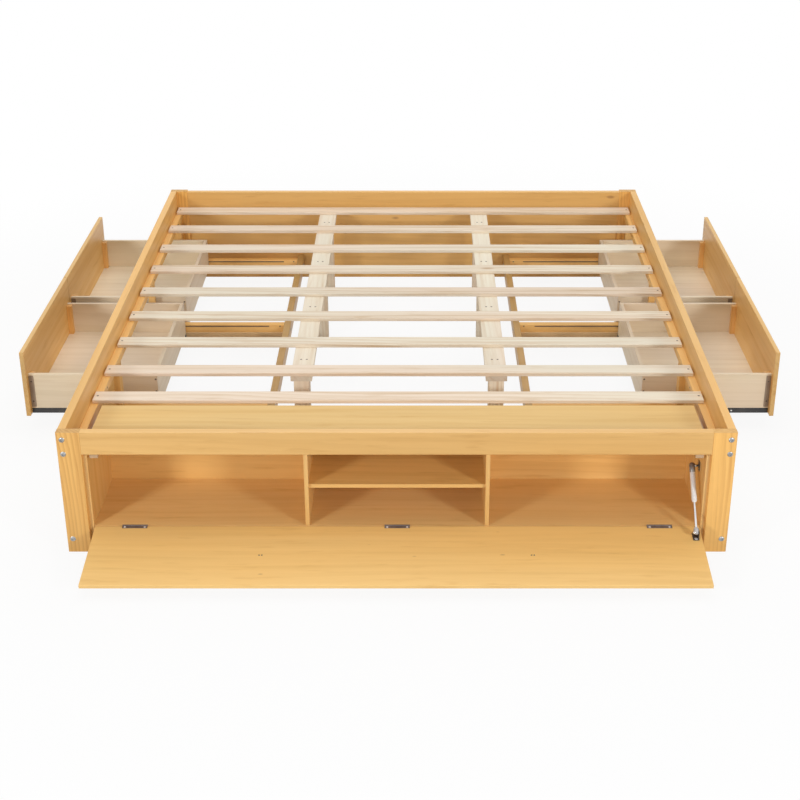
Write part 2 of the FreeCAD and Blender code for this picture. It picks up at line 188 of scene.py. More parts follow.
def stretched(tree, board, along, across):
    return onVectors(tree, "MULTIPLY", board, (along, across, across))


def grainNoise(tree, board, layer):
    scaled = stretched(tree, board, grainLook[layer + "Along"], grainLook[layer + "Across"])
    values = {"Vector": scaled, "Scale": 1.0, "Detail": grainLook[layer + "Detail"]}
    return add(tree, "ShaderNodeTexNoise", values)


def layerTone(tree, value, layer, look):
    return rangeOf(tree, value, grainLook[layer + "Span"], (0.0, look[layer + "Depth"]))


def boardSpace(tree, place, normal, axis, split, seed):
    # Grain coordinates, how far a face looks along the grain, and a mask for what lies past the split
    board = alongGrain(tree, place, axis, seed)
    normalParts = add(tree, "ShaderNodeSeparateXYZ", {0: normal})
    endFace = maths(tree, "ABSOLUTE", normalParts.outputs[axis])
    past = None
    if split:
        # A node with boards in two directions: past the split's place the grain runs the other way
        sides = add(tree, "ShaderNodeSeparateXYZ", {0: place})
        reach = sides.outputs[split["along"]]
        if split["mirrored"]:
            reach = maths(tree, "ABSOLUTE", reach)
        past = maths(tree, "GREATER_THAN", reach, split["place"])
        other = alongGrain(tree, place, split["axis"], seed)
        board = mixed(tree, vectorSockets, past, board, other, data_type="VECTOR")
        otherEnd = maths(tree, "ABSOLUTE", normalParts.outputs[split["axis"]])
        endFace = mixed(tree, valueSockets, past, endFace, otherEnd)
    return board, normalParts.outputs["Z"], endFace, past


def knotMask(tree, bent, look):
    # Cells of a scattered pattern: a knot sits at the middle of those few whose own number is high
    density = look["knotDensity"]
    knotPlace = stretched(tree, bent, density * grainLook["knotAlong"], density * grainLook["knotAcross"])
    cell = add(tree, "ShaderNodeTexVoronoi", {"Vector": knotPlace, "Scale": 1.0})
    edge = (look["knotSize"], look["knotSize"] * grainLook["knotSpread"])
    fade = rangeOf(tree, cell.outputs["Distance"], edge, (look["knotDepth"], 0.0))
    cellParts = add(tree, "ShaderNodeSeparateXYZ", {0: cell.outputs["Color"]})
    chosen = maths(tree, "GREATER_THAN", cellParts.outputs[0], look["knotChance"])
    return maths(tree, "MULTIPLY", fade, chosen)


def woodFinish(name, look, axis, split, seed):
    # Rings are bands across the board, bent by slow noise and showing only in patches, then streaks, short
    # flames, fibres, a slow change of warmth and a few small knots
    finish, tree, shader = startFinish(name)
    coords = add(tree, "ShaderNodeTexCoord").outputs
    board, facingUp, endFace, past = boardSpace(tree, coords["Object"], coords["Normal"], axis, split, seed)
    warp = grainNoise(tree, board, "warp")
    push = (0.0, grainLook["warpPush"], grainLook["warpPush"])
    warpPush = onVectors(tree, "MULTIPLY", warp.outputs["Color"], push)
    bent = onVectors(tree, "ADD", board, warpPush)
    ringPlace = stretched(tree, bent, grainLook["ringAlong"], grainLook["ringAcross"])
    ringValues = dict(ringWave, Vector=ringPlace, Scale=look["ringScale"])
    rings = add(tree, "ShaderNodeTexWave", ringValues, bands_direction="DIAGONAL", wave_profile="SAW")
    slow = grainNoise(tree, board, "slow")
    slowParts = add(tree, "ShaderNodeSeparateXYZ", {0: slow.outputs["Color"]})
    patch = rangeOf(tree, slowParts.outputs[1], grainLook["patchSpan"], grainLook["patchTone"])
    bands = layerTone(tree, rings.outputs["Fac"], "ring", look)
    ringTone = maths(tree, "MULTIPLY", bands, patch)
    streak = grainNoise(tree, bent, "streak").outputs["Fac"]
    streakTone = layerTone(tree, streak, "streak", look)
    flame = grainNoise(tree, bent, "flame").outputs["Fac"]
    flameTone = layerTone(tree, flame, "flame", look)
    fibre = grainNoise(tree, board, "fibre").outputs["Fac"]
    fibreTone = layerTone(tree, fibre, "fibre", look)
    coarse = maths(tree, "ADD", ringTone, streakTone)
    fine = maths(tree, "ADD", flameTone, fibreTone)
    tone = maths(tree, "ADD", coarse, fine)
    warmth = layerTone(tree, slowParts.outputs[0], "warm", look)
    base = blendColour(tree, warmth, look["pale"], look["warm"])
    colour = blendColour(tree, tone, base, look["deep"])
    knot = knotMask(tree, bent, look)
    colour = blendColour(tree, knot, colour, look["knot"])
    slowTone = rangeOf(tree, slowParts.outputs[2], grainLook["slowSpan"], grainLook["slowTone"])
    endTone = rangeOf(tree, endFace, grainLook["endSpan"], (1.0, look["endShade"]))
    shade = maths(tree, "MULTIPLY", slowTone, endTone)
    paintedTopTone = rangeOf(tree, facingUp, grainLook["paintedTopSpan"], (1.0, look["paintedTopLight"]))  # painted light: tops are made paler, as if lit more from above
    shade = maths(tree, "MULTIPLY", shade, paintedTopTone)
    if split and split["shades"]:
        sideTone = rangeOf(tree, past, (0.0, 1.0), split["shades"], smooth=False)
        shade = maths(tree, "MULTIPLY", shade, sideTone)
    shadeColour = add(tree, "ShaderNodeCombineXYZ", {0: shade, 1: shade, 2: shade}).outputs[0]
    colour = blendColour(tree, 1.0, colour, shadeColour, "MULTIPLY")
    tree.links.new(colour, shader.inputs["Base Color"])
    rough = rangeOf(tree, streak, grainLook["roughSpan"], look["rough"])
    tree.links.new(rough, shader.inputs["Roughness"])
    fibreRelief = maths(tree, "MULTIPLY", fibre, grainLook["fibreRelief"])
    knotRelief = maths(tree, "MULTIPLY", knot, grainLook["knotRelief"])
    relief = maths(tree, "SUBTRACT", fibreRelief, knotRelief)
    bumpValues = {"Strength": look["bump"], "Distance": grainLook["bumpDistance"], "Height": relief}
    bump = add(tree, "ShaderNodeBump", bumpValues)
    tree.links.new(bump.outputs[0], shader.inputs["Normal"])
    shader.inputs["Coat Weight"].default_value = look["coat"]
    shader.inputs["Coat Roughness"].default_value = grainLook["coatRough"]
    return finish


# Metal and plastic finishes: two tones, metallic share, span of roughness and scale of the speckle

def plainLook(colour, tint, metallic, rough, grain):
    return dict(colour=opaque(*colour), tint=opaque(*tint), metallic=metallic, rough=rough, grain=grain)


metalLooks = dict(
    runnerBlack=plainLook((0.028, 0.027, 0.028), (0.05, 0.048, 0.046), 0.0, (0.30, 0.46), 420.0),
    # Painted shade: dark brown for the shadow line of a groove along the guide boards
    grooveShadeBrown=plainLook((0.135, 0.085, 0.048), (0.18, 0.115, 0.068), 0.1, (0.40, 0.55), 420.0),
    runnerTan=plainLook((0.80, 0.575, 0.315), (0.68, 0.475, 0.245), 0.0, (0.40, 0.55), 160.0),
    hingeDark=plainLook((0.16, 0.125, 0.11), (0.22, 0.18, 0.16), 0.35, (0.42, 0.56), 900.0),
    screwSteel=plainLook((0.72, 0.71, 0.69), (0.55, 0.54, 0.52), 1.0, (0.22, 0.38), 1400.0),
    screwDark=plainLook((0.10, 0.075, 0.055), (0.17, 0.13, 0.10), 0.4, (0.42, 0.6), 1400.0),
    boltZinc=plainLook((0.46, 0.46, 0.45), (0.33, 0.34, 0.35), 0.9, (0.26, 0.42), 800.0),
    bracketDark=plainLook((0.055, 0.05, 0.048), (0.10, 0.09, 0.085), 0.3, (0.38, 0.52), 700.0),
    tubeWhite=plainLook((0.86, 0.86, 0.86), (0.79, 0.79, 0.80), 0.0, (0.22, 0.34), 500.0),
    rodChrome=plainLook((0.80, 0.80, 0.81), (0.70, 0.70, 0.72), 1.0, (0.06, 0.14), 600.0),
    socketGrey=plainLook((0.52, 0.51, 0.51), (0.43, 0.42, 0.42), 0.1, (0.32, 0.46), 700.0),
    collarGrey=plainLook((0.33, 0.325, 0.32), (0.27, 0.265, 0.26), 0.3, (0.30, 0.44), 700.0),
    screwPale=plainLook((0.86, 0.82, 0.78), (0.76, 0.72, 0.68), 0.25, (0.26, 0.40), 1400.0),
    catchIvory=plainLook((0.51, 0.345, 0.20), (0.42, 0.28, 0.155), 0.0, (0.40, 0.55), 500.0),
    stripTaupe=plainLook((0.34, 0.26, 0.19), (0.27, 0.20, 0.145), 0.0, (0.42, 0.58), 260.0))
speckleLook = dict(
    detail=3.0, cloudShare=0.06, cloudDetail=2.0, cloudSpan=(0.35, 0.7), roughSpan=(0.3, 0.7), bump=0.06,
    bumpDistance=0.0004)


def metalFinish(name):
    # Two close tones mixed by slow noise, with fine noise in the roughness and a slight bump
    look = metalLooks[name]
    finish, tree, shader = startFinish(name)
    place = add(tree, "ShaderNodeTexCoord").outputs["Object"]
    fineValues = {"Vector": place, "Scale": look["grain"], "Detail": speckleLook["detail"]}
    speckle = add(tree, "ShaderNodeTexNoise", fineValues).outputs["Fac"]
    cloudScale = look["grain"] * speckleLook["cloudShare"]
    cloudValues = {"Vector": place, "Scale": cloudScale, "Detail": speckleLook["cloudDetail"]}
    cloud = add(tree, "ShaderNodeTexNoise", cloudValues).outputs["Fac"]
    tone = rangeOf(tree, cloud, speckleLook["cloudSpan"], (0.0, 1.0))
    tree.links.new(blendColour(tree, tone, look["colour"], look["tint"]), shader.inputs["Base Color"])
    rough = rangeOf(tree, speckle, speckleLook["roughSpan"], look["rough"])
    tree.links.new(rough, shader.inputs["Roughness"])
    bumpValues = {"Strength": speckleLook["bump"], "Distance": speckleLook["bumpDistance"], "Height": speckle}
    bump = add(tree, "ShaderNodeBump", bumpValues)
    tree.links.new(bump.outputs[0], shader.inputs["Normal"])
    shader.inputs["Metallic"].default_value = look["metallic"]
    return finish


# Splits: in the guides, boards run across and inner rails lengthways; in the lower rails, the plinth runs
# across and the others lengthways
guidePlace = nearestToMiddle("fixed_runners")
guideSplit = dict(along="X", place=guidePlace, axis="X", mirrored=True, shades=(0.74, 1.20))
plinthFix = dict(reach=0.012)
plinthPlace = float(low("side_rail_left")[1] + plinthFix["reach"])
plinthSplit = dict(along="Y", place=plinthPlace, axis="Y", mirrored=False, shades=None)

# Name of the finish, its look, the way of its grain, its split and its place in the pattern
woodTable = dict(
    pineX=("lacqueredPineAcross", pineLook, "X", None, 0.4),
    railX=("lacqueredRailAcross", railLook, "X", None, 7.4),
    railY=("lacqueredRailLengthways", railLook, "Y", None, 8.9),
    panelX=("lacqueredPanelAcross", panelLook, "X", None, 2.9),
    floorX=("lacqueredFloorAcross", floorLook, "X", None, 9.6),
    backX=("lacqueredBackAcross", backLook, "X", None, 11.3),
    flapX=("lacqueredFlapAcross", flapLook, "X", None, 4.1),
    ledgerY=("lacqueredLedger", ledgerLook, "Y", None, 10.7),
    pineY=("lacqueredPineLengthways", pineLook, "Y", None, 1.7),
    postZ=("lacqueredPinePost", postLook, "Z", None, 3.1),
    blockZ=("lacqueredPineBlock", blockLook, "Z", None, 5.8),
    pineZ=("lacqueredPineUpright", pineLook, "Z", None, 6.2),
    pineGuides=("lacqueredPineGuides", pineLook, "Y", guideSplit, 2.2),
    pineLower=("lacqueredPineLower", pineLook, "X", plinthSplit, 5.3),
    slatX=("barePineAcross", slatLook, "X", None, 0.9),
    slatY=("barePineLengthways", beamLook, "Y", None, 2.6),
    slatZ=("barePineUpright", slatLook, "Z", None, 4.4),
    boxX=("drawerBirchAcross", boxLook, "X", None, 1.1),
    boxY=("drawerBirchLengthways", boxLook, "Y", None, 3.7))
finishes = {name: metalFinish(name) for name in metalLooks}
finishes.update({key: woodFinish(*row) for key, row in woodTable.items()})
print("finishes made:", len(finishes))

# Which finish each node of the frame gets: by its whole name, or by its first or last word
nodeFinishes = dict(
    foot_rail="railX", head_rail="railX", head_panel="pineX", side_rail_left="railY", side_rail_right="railY",
    slat_ledgers="ledgerY", side_panels="pineY", side_stiles="pineZ", lower_rails="pineLower",
    drawer_guides="pineGuides", centre_beams="slatY", centre_legs="slatZ", fixed_runners="runnerTan",
    cabinet_top="panelX", cabinet_floor="floorX", cabinet_back="backX", cabinet_shelf="pineX",
    cabinet_sides="pineZ", cabinet_dividers="pineZ", flap="flapX", flap_hinge_fixed="hingeDark",
    flap_hinge_moving="hingeDark", flap_catches="catchIvory", strut_wall_bracket="bracketDark",
    strut_flap_bracket="bracketDark", strut_cylinder="tubeWhite", strut_rod="rodChrome")
firstWords = dict(post="postZ", slat="slatX")
lastWords = dict(front="pineY", sides="boxX", back="boxY", bottom="boxX", runners="runnerBlack")


def finishFor(node):
    words = node.split("_")
    return nodeFinishes.get(node) or firstWords.get(words[0]) or lastWords[words[-1]]


for nodeName, nodeObject in frame["nodes"].items():
    nodeObject.data.materials.clear()
    nodeObject.data.materials.append(finishes[finishFor(nodeName)])
print("nodes dressed")


# Surfaces for the new pieces

meshFix = dict(weld=1e-6, sharpAngle=35.0)
latheFix = dict(segments=32, upright=0.9)
stripGrid = dict(rows=21, columns=40)


def meshPiece(name, vertices, faces, finish, body):
    mesh = bpy.data.meshes.new(name)
    mesh.from_pydata(vertices.reshape(-1, 3).tolist(), [], faces.reshape(-1, faces.shape[-1]).tolist())
    work = bmesh.new()
    work.from_mesh(mesh)
    bmesh.ops.remove_doubles(work, verts=work.verts, dist=meshFix["weld"])
    bmesh.ops.recalc_face_normals(work, faces=work.faces)
    work.to_mesh(mesh)
    work.free()
    mesh.materials.append(finishes[finish])
    piece = bpy.data.objects.new(name, mesh)
    bpy.context.scene.collection.objects.link(piece)
    mesh.shade_smooth()
    mesh.set_sharp_from_angle(angle=math.radians(meshFix["sharpAngle"]))
    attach(piece, body)


def gridFaces(rows, columns, copies):
    # Quads between each ring and the next, closed round the ring
    row, column = np.meshgrid(np.arange(rows - 1), np.arange(columns), indexing="ij")
    after = (column + 1) % columns
    ring, nextRing = row * columns, (row + 1) * columns
    quads = np.stack([ring + column, ring + after, nextRing + after, nextRing + column], -1)
    start = np.arange(copies)[:, None, None, None] * rows * columns
    return quads[None] + start


def unitVector(direction):
    direction = np.asarray(direction, float)
    return direction / np.linalg.norm(direction)


def turnedPieces(name, profile, centres, axis, finish, body, segments=latheFix["segments"],
                 relief=None):
    # Place = centre + radius * (cos angle, sin angle across the axis) + height * axis, the height lowered by
    # the relief
    profile = np.asarray(profile, float)
    centres = np.asarray(centres, float).reshape(-1, 3)
    axis = unitVector(axis)
    helper = np.array([0.0, 0.0, 1.0]) if abs(axis[2]) < latheFix["upright"] else np.array([1.0, 0.0, 0.0])
    sideways = unitVector(np.cross(helper, axis))
    upward = np.cross(axis, sideways)
    angle = np.arange(segments) * 2 * np.pi / segments
    radius = profile[:, 0][:, None]
    height = profile[:, 1][:, None] + np.zeros(segments)
    if relief is not None:
        height = height - relief(radius, angle[None, :])
    ring = np.cos(angle)[None, :, None] * sideways + np.sin(angle)[None, :, None] * upward
    shape = radius[..., None] * ring + height[..., None] * axis
    vertices = centres[:, None, None, :] + shape[None]
    meshPiece(name, vertices, gridFaces(len(profile), segments, len(centres)), finish, body)


def roundedStrips(name, lows, highs, finish, body, squareness):
    # Superellipsoid: each half size times cos or sin to a small power, which gives a box with soft edges
    lows = np.asarray(lows, float).reshape(-1, 3)
    highs = np.asarray(highs, float).reshape(-1, 3)
    rows, columns = stripGrid["rows"], stripGrid["columns"]
    tilt = np.linspace(-np.pi / 2, np.pi / 2, rows)[:, None]
    turn = (np.arange(columns) * 2 * np.pi / columns)[None, :]

    def softPower(value):
        return np.sign(value) * np.abs(value) ** squareness

    level = softPower(np.cos(tilt))
    shape = np.stack([level * softPower(np.cos(turn)), level * softPower(np.sin(turn)),
                      softPower(np.sin(tilt)) + 0 * turn], -1)
    middle = (lows + highs)[:, None, None, :] / 2
    half = (highs - lows)[:, None, None, :] / 2
    meshPiece(name, middle + half * shape[None], gridFaces(rows, columns, len(lows)), finish, body)


# Screws and bolts: lengths in the recesses are shares of the head's radius

recessFix = dict(armFold=2, armPower=10, armEnd=0.72, armFade=0.12, socketHalf=0.46, socketFade=0.05)
screwFix = dict(
    rise=0.0006, skirt=0.0006, domePower=3, recessShare=0.8, recessExtra=0.0004,
    shares=(0.0, 0.14, 0.28, 0.42, 0.56, 0.66, 0.76, 0.88, 0.96, 1.0))
boltFix = dict(
    inset=0.017, drops=(0.024, 0.072), lowHeight=0.046, size=0.0085, rise=0.0030, recess=0.0022,
    fullness=1.02, segments=36,
    shares=(0.0, 0.15, 0.30, 0.40, 0.44, 0.48, 0.52, 0.58, 0.72, 0.86, 0.96, 1.0))


def crossRecess(size, depth):
    # Four arms sunk into a screw head, a narrow wedge each, fading out before the rim
    def relief(radius, angle):
        arm = np.abs(np.cos(recessFix["armFold"] * angle)) ** recessFix["armPower"]
        inside = np.clip((recessFix["armEnd"] * size - radius) / (recessFix["armFade"] * size), 0, 1)
        return depth * arm * inside
    return relief


def hexRecess(size, depth):
    # A six-sided socket: sunk where the distance to the flats is under the socket's half width
    def relief(radius, angle):
        flat = radius * np.cos((angle + np.pi / 6) % (np.pi / 3) - np.pi / 6)
        inside = (recessFix["socketHalf"] * size - flat) / (recessFix["socketFade"] * size)
        return depth * np.clip(inside, 0, 1)
    return relief


def screwProfile(size, rise):
    # Low dome down to the rim, a short skirt into the wood and a closed underside
    share = np.array(screwFix["shares"])
    dome = np.stack([share * size, rise * (1 - share ** screwFix["domePower"])], -1)
    return np.concatenate([dome, [[size, -screwFix["skirt"]], [0.0, -screwFix["skirt"]]]])


def screws(name, centres, axis, body, size, rise=screwFix["rise"], finish="screwSteel"):
    recess = crossRecess(size, screwFix["recessShare"] * rise + screwFix["recessExtra"])
    turnedPieces(name, screwProfile(size, rise), centres, axis, finish, body, relief=recess)


def bolts(name, centres, axis, fix):
    # Shallow dome, height = rise * root of (fullness - share squared), with a six-sided socket on top and a
    # flat underside
    share = np.array(boltFix["shares"])
    dome = np.stack([share * fix["size"], fix["rise"] * np.sqrt(boltFix["fullness"] - share ** 2)], -1)
    profile = np.concatenate([dome, [[fix["size"], 0.0], [0.0, 0.0]]])
    turnedPieces(name, profile, centres, axis, "boltZinc", "frame", segments=boltFix["segments"],
                 relief=hexRecess(fix["size"], fix["recess"]))


# Slat screws: one in each end, over the ledger

slatFix = dict(endInset=0.011, size=0.0036, count=9)
slatNames = ["slat_" + str(number + 1) for number in range(slatFix["count"])]
slatLow = np.array([low(name) for name in slatNames])
slatHigh = np.array([high(name) for name in slatNames])
slatMiddle = (slatLow[:, 1] + slatHigh[:, 1]) / 2
slatTop = slatHigh[0, 2]
endX = slatHigh[0, 0] - slatFix["endInset"]
endPlaces = np.array([[side * endX, y, slatTop] for y in slatMiddle for side in (-1, 1)])
screws("slatEndScrews", endPlaces, (0, 0, 1), "frame", slatFix["size"], finish="screwDark")

# Beam screws: pairs down through the beam, in every second gap between the slats

beamFix = dict(size=0.0034, pairHalf=0.0095, share=0.42, firstGap=1, step=2)
beamTop = high("centre_beams")[2]
beamMiddle = (high("centre_beams")[0] + nearestToMiddle("centre_beams")) / 2
gapStart = slatHigh[beamFix["firstGap"]:-1:beamFix["step"], 1]
gapEnd = slatLow[beamFix["firstGap"] + 1::beamFix["step"], 1]
gapY = gapStart + beamFix["share"] * (gapEnd - gapStart)
pairPlaces = np.array([[side * beamMiddle + half * beamFix["pairHalf"], y, beamTop]
                       for y in gapY for side in (-1, 1) for half in (-1, 1)])
screws("beamScrews", pairPlaces, (0, 0, 1), "frame", beamFix["size"], finish="screwDark")

# Ledger screws: along the inner face of each ledger, in the middle of equal lengths

ledgerFix = dict(count=7, size=0.0036)
ledgerLow, ledgerHigh = low("slat_ledgers"), high("slat_ledgers")
ledgerShares = (np.arange(ledgerFix["count"]) + 0.5) / ledgerFix["count"]
ledgerY = ledgerLow[1] + ledgerShares * (ledgerHigh[1] - ledgerLow[1])
ledgerZ = (ledgerLow[2] + ledgerHigh[2]) / 2
ledgerFace = nearestToMiddle("slat_ledgers")
for sideName, side in bothSides:
    places = [[side * ledgerFace, y, ledgerZ] for y in ledgerY]
    screws("ledgerScrews" + sideName, places, (-side, 0, 0), "frame", ledgerFix["size"], finish="screwDark")
print("slat and ledger screws placed")

# Post bolts: two near the top of each post and one low down

boltHeights = [high("post_foot_left")[2] - drop for drop in boltFix["drops"]] + [boltFix["lowHeight"]]
boltX = high("post_foot_right")[0] - boltFix["inset"]
for endName, face, facing in (("Foot", low("post_foot_left")[1], -1), ("Head", high("post_head_left")[1], 1)):
    places = [[side * boltX, face, height] for side in (-1, 1) for height in boltHeights]
    bolts("postBolts" + endName, places, (0, facing, 0), boltFix)
print("post bolts placed")

# Flap fittings: places are written for the shut flap and swung open with it

flapHinge = joints["flap_hinge"]
hingePoint = np.array(flapHinge["pos_m"])
openTurn = math.radians(flapHinge["range_deg"][1])


def swung(points):
    # Turn about the hinge line: across and up change by the cos and sin of the open angle
    points = np.asarray(points, float).reshape(-1, 3)
    across, up = points[:, 1], points[:, 2]
    turnedAcross = across * math.cos(openTurn) - up * math.sin(openTurn)
    turnedUp = across * math.sin(openTurn) + up * math.cos(openTurn)
    return hingePoint + np.stack([points[:, 0], turnedAcross, turnedUp], -1)


inward = swung([[0, 1, 0]])[0] - hingePoint
hingeFix = dict(halfLength=0.038, spread=0.030, up=0.0073, sink=0.0004, size=0.0033)
outerHinge = high("flap_hinge_fixed")[0] - hingeFix["halfLength"]
hingeX = [middle + side * hingeFix["spread"] for middle in (-outerHinge, 0.0, outerHinge) for side in (-1, 1)]
flapPlaces = swung([[x, 0.0, hingeFix["up"]] for x in hingeX])
screws("hingeScrewsFlap", flapPlaces, inward, "flap", hingeFix["size"], finish="screwPale")
leafFront = hingePoint[1] + hingeFix["sink"]
floorPlaces = [[x, leafFront, hingePoint[2] - hingeFix["up"]] for x in hingeX]
screws("hingeScrewsFloor", floorPlaces, (0, -1, 0), "frame", hingeFix["size"], finish="screwPale")

# Knob screws: on the inner face of the flap, half way up it, behind each knob

knobFix = dict(share=0.22, size=0.0026, pairHalf=0.0040, flapStart=0.0026, sink=0.001)
flapLow, flapHigh = low("flap"), high("flap")
flapReach = (hingePoint[1] - flapLow[1]) / math.sin(openTurn)
knobX = knobFix["share"] * (flapHigh[0] - flapLow[0])
knobUp = (knobFix["flapStart"] + flapReach) / 2
knobPlaces = [[side * knobX + half * knobFix["pairHalf"], -knobFix["sink"], knobUp]
              for side in (-1, 1) for half in (-1, 1)]
screws("knobScrewsFlap", swung(knobPlaces), inward, "flap", knobFix["size"], finish="screwDark")
print("flap fittings placed")

# Gas strut: socket, band and ball at the wall end, socket and ball at the flap end, fixings on both brackets.
# Profiles are pairs of radius and height along the strut, measured from the pivot

strutFix = dict(
    eye=0.006, segments=40, sleeve=0.0088, band=0.0083, bandHole=0.0076, bandStart=0.0040, bandLength=0.0162,
    bandBevel=0.0008, ball=0.0052, ballRows=13, ballSegments=28, topBall=(0.0098, 0.0, 0.0),
    lowBall=(-0.0062, -0.0030, -0.0010), wallSink=0.002, screwInset=0.005, screwSize=0.0026,
    plateShare=0.93, plateRise=0.001, screwBack=0.011, studAhead=0.0095, studSize=0.0050, studRise=0.0016)
topSocket = [[0.0, -0.0098], [0.0045, -0.0094], [0.0072, -0.0075], [strutFix["sleeve"], -0.0035],
             [strutFix["sleeve"], 0.0030], [0.0080, 0.0038], [0.0079, 0.0044], [0.0, 0.0044]]
lowSocket = [[0.0, -0.0136], [0.0050, -0.0136], [0.0058, -0.0130], [0.0066, -0.0105], [0.0075, -0.007],
             [0.0078, -0.003], [0.0076, 0.0035], [0.0060, 0.0070], [0.0030, 0.0086], [0.0, 0.0090]]
wallPivot = np.array(joints["strut_swing"]["pos_m"])
strutWay = unitVector(joints["strut_slide"]["axis"])
rodLow = low("strut_rod")
flapPivot = np.array([wallPivot[0], rodLow[1] + strutFix["eye"], rodLow[2] + strutFix["eye"]])
turnedPieces("strutTopSocket", topSocket, wallPivot, strutWay, "hingeDark", "strut_cylinder",
             strutFix["segments"])

# The band is a ring: its hole lies inside the tube's wall, clear of the rod
hole, rim, wide = strutFix["bandHole"], strutFix["band"], strutFix["sleeve"]
start, bevel = strutFix["bandStart"], strutFix["bandBevel"]
end = start + strutFix["bandLength"]
topBand = [[hole, start], [rim, start], [wide, start + bevel], [wide, end - bevel], [rim, end], [hole, end],
           [hole, start]]
turnedPieces("strutTopBand", topBand, wallPivot, strutWay, "collarGrey", "strut_cylinder",
             strutFix["segments"])
turnedPieces("strutLowSocket", lowSocket, flapPivot, strutWay, "socketGrey", "strut_rod",
             strutFix["segments"])
ballAngle = np.linspace(-np.pi / 2, np.pi / 2, strutFix["ballRows"])
ballProfile = strutFix["ball"] * np.stack([np.cos(ballAngle), np.sin(ballAngle)], -1)
topBall, lowBall = wallPivot + np.array(strutFix["topBall"]), flapPivot + np.array(strutFix["lowBall"])
turnedPieces("strutTopBall", ballProfile, topBall, (1, 0, 0), "screwSteel", "frame",
             strutFix["ballSegments"])
turnedPieces("strutLowBall", ballProfile, lowBall, (1, 0, 0), "screwSteel", "strut_rod",
             strutFix["ballSegments"])
bracketLow, bracketHigh = low("strut_wall_bracket"), high("strut_wall_bracket")
bracketY = (bracketLow[1] + bracketHigh[1]) / 2
bracketZ = (bracketHigh[2] - strutFix["screwInset"], bracketLow[2] + strutFix["screwInset"])
wallPlaces = [[bracketHigh[0] - strutFix["wallSink"], bracketY, z] for z in bracketZ]
screws("strutWallScrews", wallPlaces, (-1, 0, 0), "frame", strutFix["screwSize"])
plateUp = np.linalg.norm(flapPivot[1:] - hingePoint[1:]) * strutFix["plateShare"]
screwPlace = swung([[flapPivot[0], strutFix["plateRise"], plateUp - strutFix["screwBack"]]])
screws("strutFlapScrews", screwPlace, inward, "flap", strutFix["screwSize"])
studPlace = swung([[flapPivot[0], strutFix["plateRise"], plateUp + strutFix["studAhead"]]])
screws("strutFlapStud", studPlace, inward, "flap", strutFix["studSize"], strutFix["studRise"], "socketGrey")
print("gas strut fitted")

# Drawers: corner strips, corner blocks, box screws and runner rivets on each

drawerFix = dict(
    stripWidth=0.017, stripThickness=0.0016, stripGap=0.006, stripSquareness=0.08, stripInset=0.022,
    blockSize=0.018, blockSink=0.0003, blockDrop=0.003, blockSquareness=0.06, screwSize=0.0032,
    backInset=0.006, backRise=0.020, rivetSize=0.0030, rivetProud=0.0012, rivetPlaces=(0.128, 0.260, 0.400))
for body in drawerBodies:
    tag = "".join(word.capitalize() for word in body.split("_")[1:])
    outward = -1 if "left" in body else 1
    wallLow, wallHigh = low(body + "_sides"), high(body + "_sides")
    frontFace = wallHigh[0] if outward > 0 else wallLow[0]
    backFace = wallLow[0] if outward > 0 else wallHigh[0]
    nearFace, farFace = wallLow[1], wallHigh[1]

    # Corner strips: thin, upright on the outside of the walls, behind the front
    thick = drawerFix["stripThickness"]
    stripX = sorted((frontFace, frontFace - outward * drawerFix["stripWidth"]))
    stripZ = (wallLow[2] + drawerFix["stripGap"], wallHigh[2] - drawerFix["stripGap"])
    stripLows = [[stripX[0], nearFace - thick, stripZ[0]], [stripX[0], farFace - thick / 2, stripZ[0]]]
    stripHighs = [[stripX[1], nearFace + thick / 2, stripZ[1]], [stripX[1], farFace + thick, stripZ[1]]]
    roundedStrips("cornerStrips" + tag, stripLows, stripHighs, "stripTaupe", body,
                  drawerFix["stripSquareness"])

    # Corner blocks: pine battens upright between the walls and the front, on the drawer's bottom
    bottomLow, bottomHigh = low(body + "_bottom"), high(body + "_bottom")
    block, sink = drawerFix["blockSize"], drawerFix["blockSink"]
    blockX = sorted((frontFace + outward * sink, frontFace - outward * block))
    blockZ = (bottomHigh[2] - sink, wallHigh[2] - drawerFix["blockDrop"])
    blockLows = [[blockX[0], bottomLow[1] - sink, blockZ[0]], [blockX[0], bottomHigh[1] - block, blockZ[0]]]
    blockHighs = [[blockX[1], bottomLow[1] + block, blockZ[1]], [blockX[1], bottomHigh[1] + sink, blockZ[1]]]
    roundedStrips("cornerBlocks" + tag, blockLows, blockHighs, "blockZ", body, drawerFix["blockSquareness"])

    # Screws in the strips, screws through the walls into the back, and rivets along the runners
    stripRows = (stripZ[0] + drawerFix["stripInset"], stripZ[1] - drawerFix["stripInset"])
    wallMiddle = (wallLow[2] + wallHigh[2]) / 2
    backRows = (wallLow[2] + drawerFix["backRise"], wallMiddle, wallHigh[2] - drawerFix["backRise"])
    backX = backFace + outward * drawerFix["backInset"]
    rivetRow = (low(body + "_runners")[2] + high(body + "_runners")[2]) / 2
    rivetX = [frontFace - outward * place for place in drawerFix["rivetPlaces"]]
    fixings = (
        ("stripScrews", [sum(stripX) / 2], stripRows, thick, drawerFix["screwSize"], "screwDark"),
        ("boxScrews", [backX], backRows, 0.0, drawerFix["screwSize"], "screwDark"),
        ("runnerRivets", rivetX, [rivetRow], drawerFix["rivetProud"], drawerFix["rivetSize"], "screwSteel"))
    for kind, across, rows, proud, size, finish in fixings:
        for wallName, face, facing in (("Near", nearFace, -1), ("Far", farFace, 1)):
            places = [[x, face + facing * proud, z] for x in across for z in rows]
            screws(kind + wallName + tag, places, (0, facing, 0), body, size, finish=finish)
print("drawers fitted")
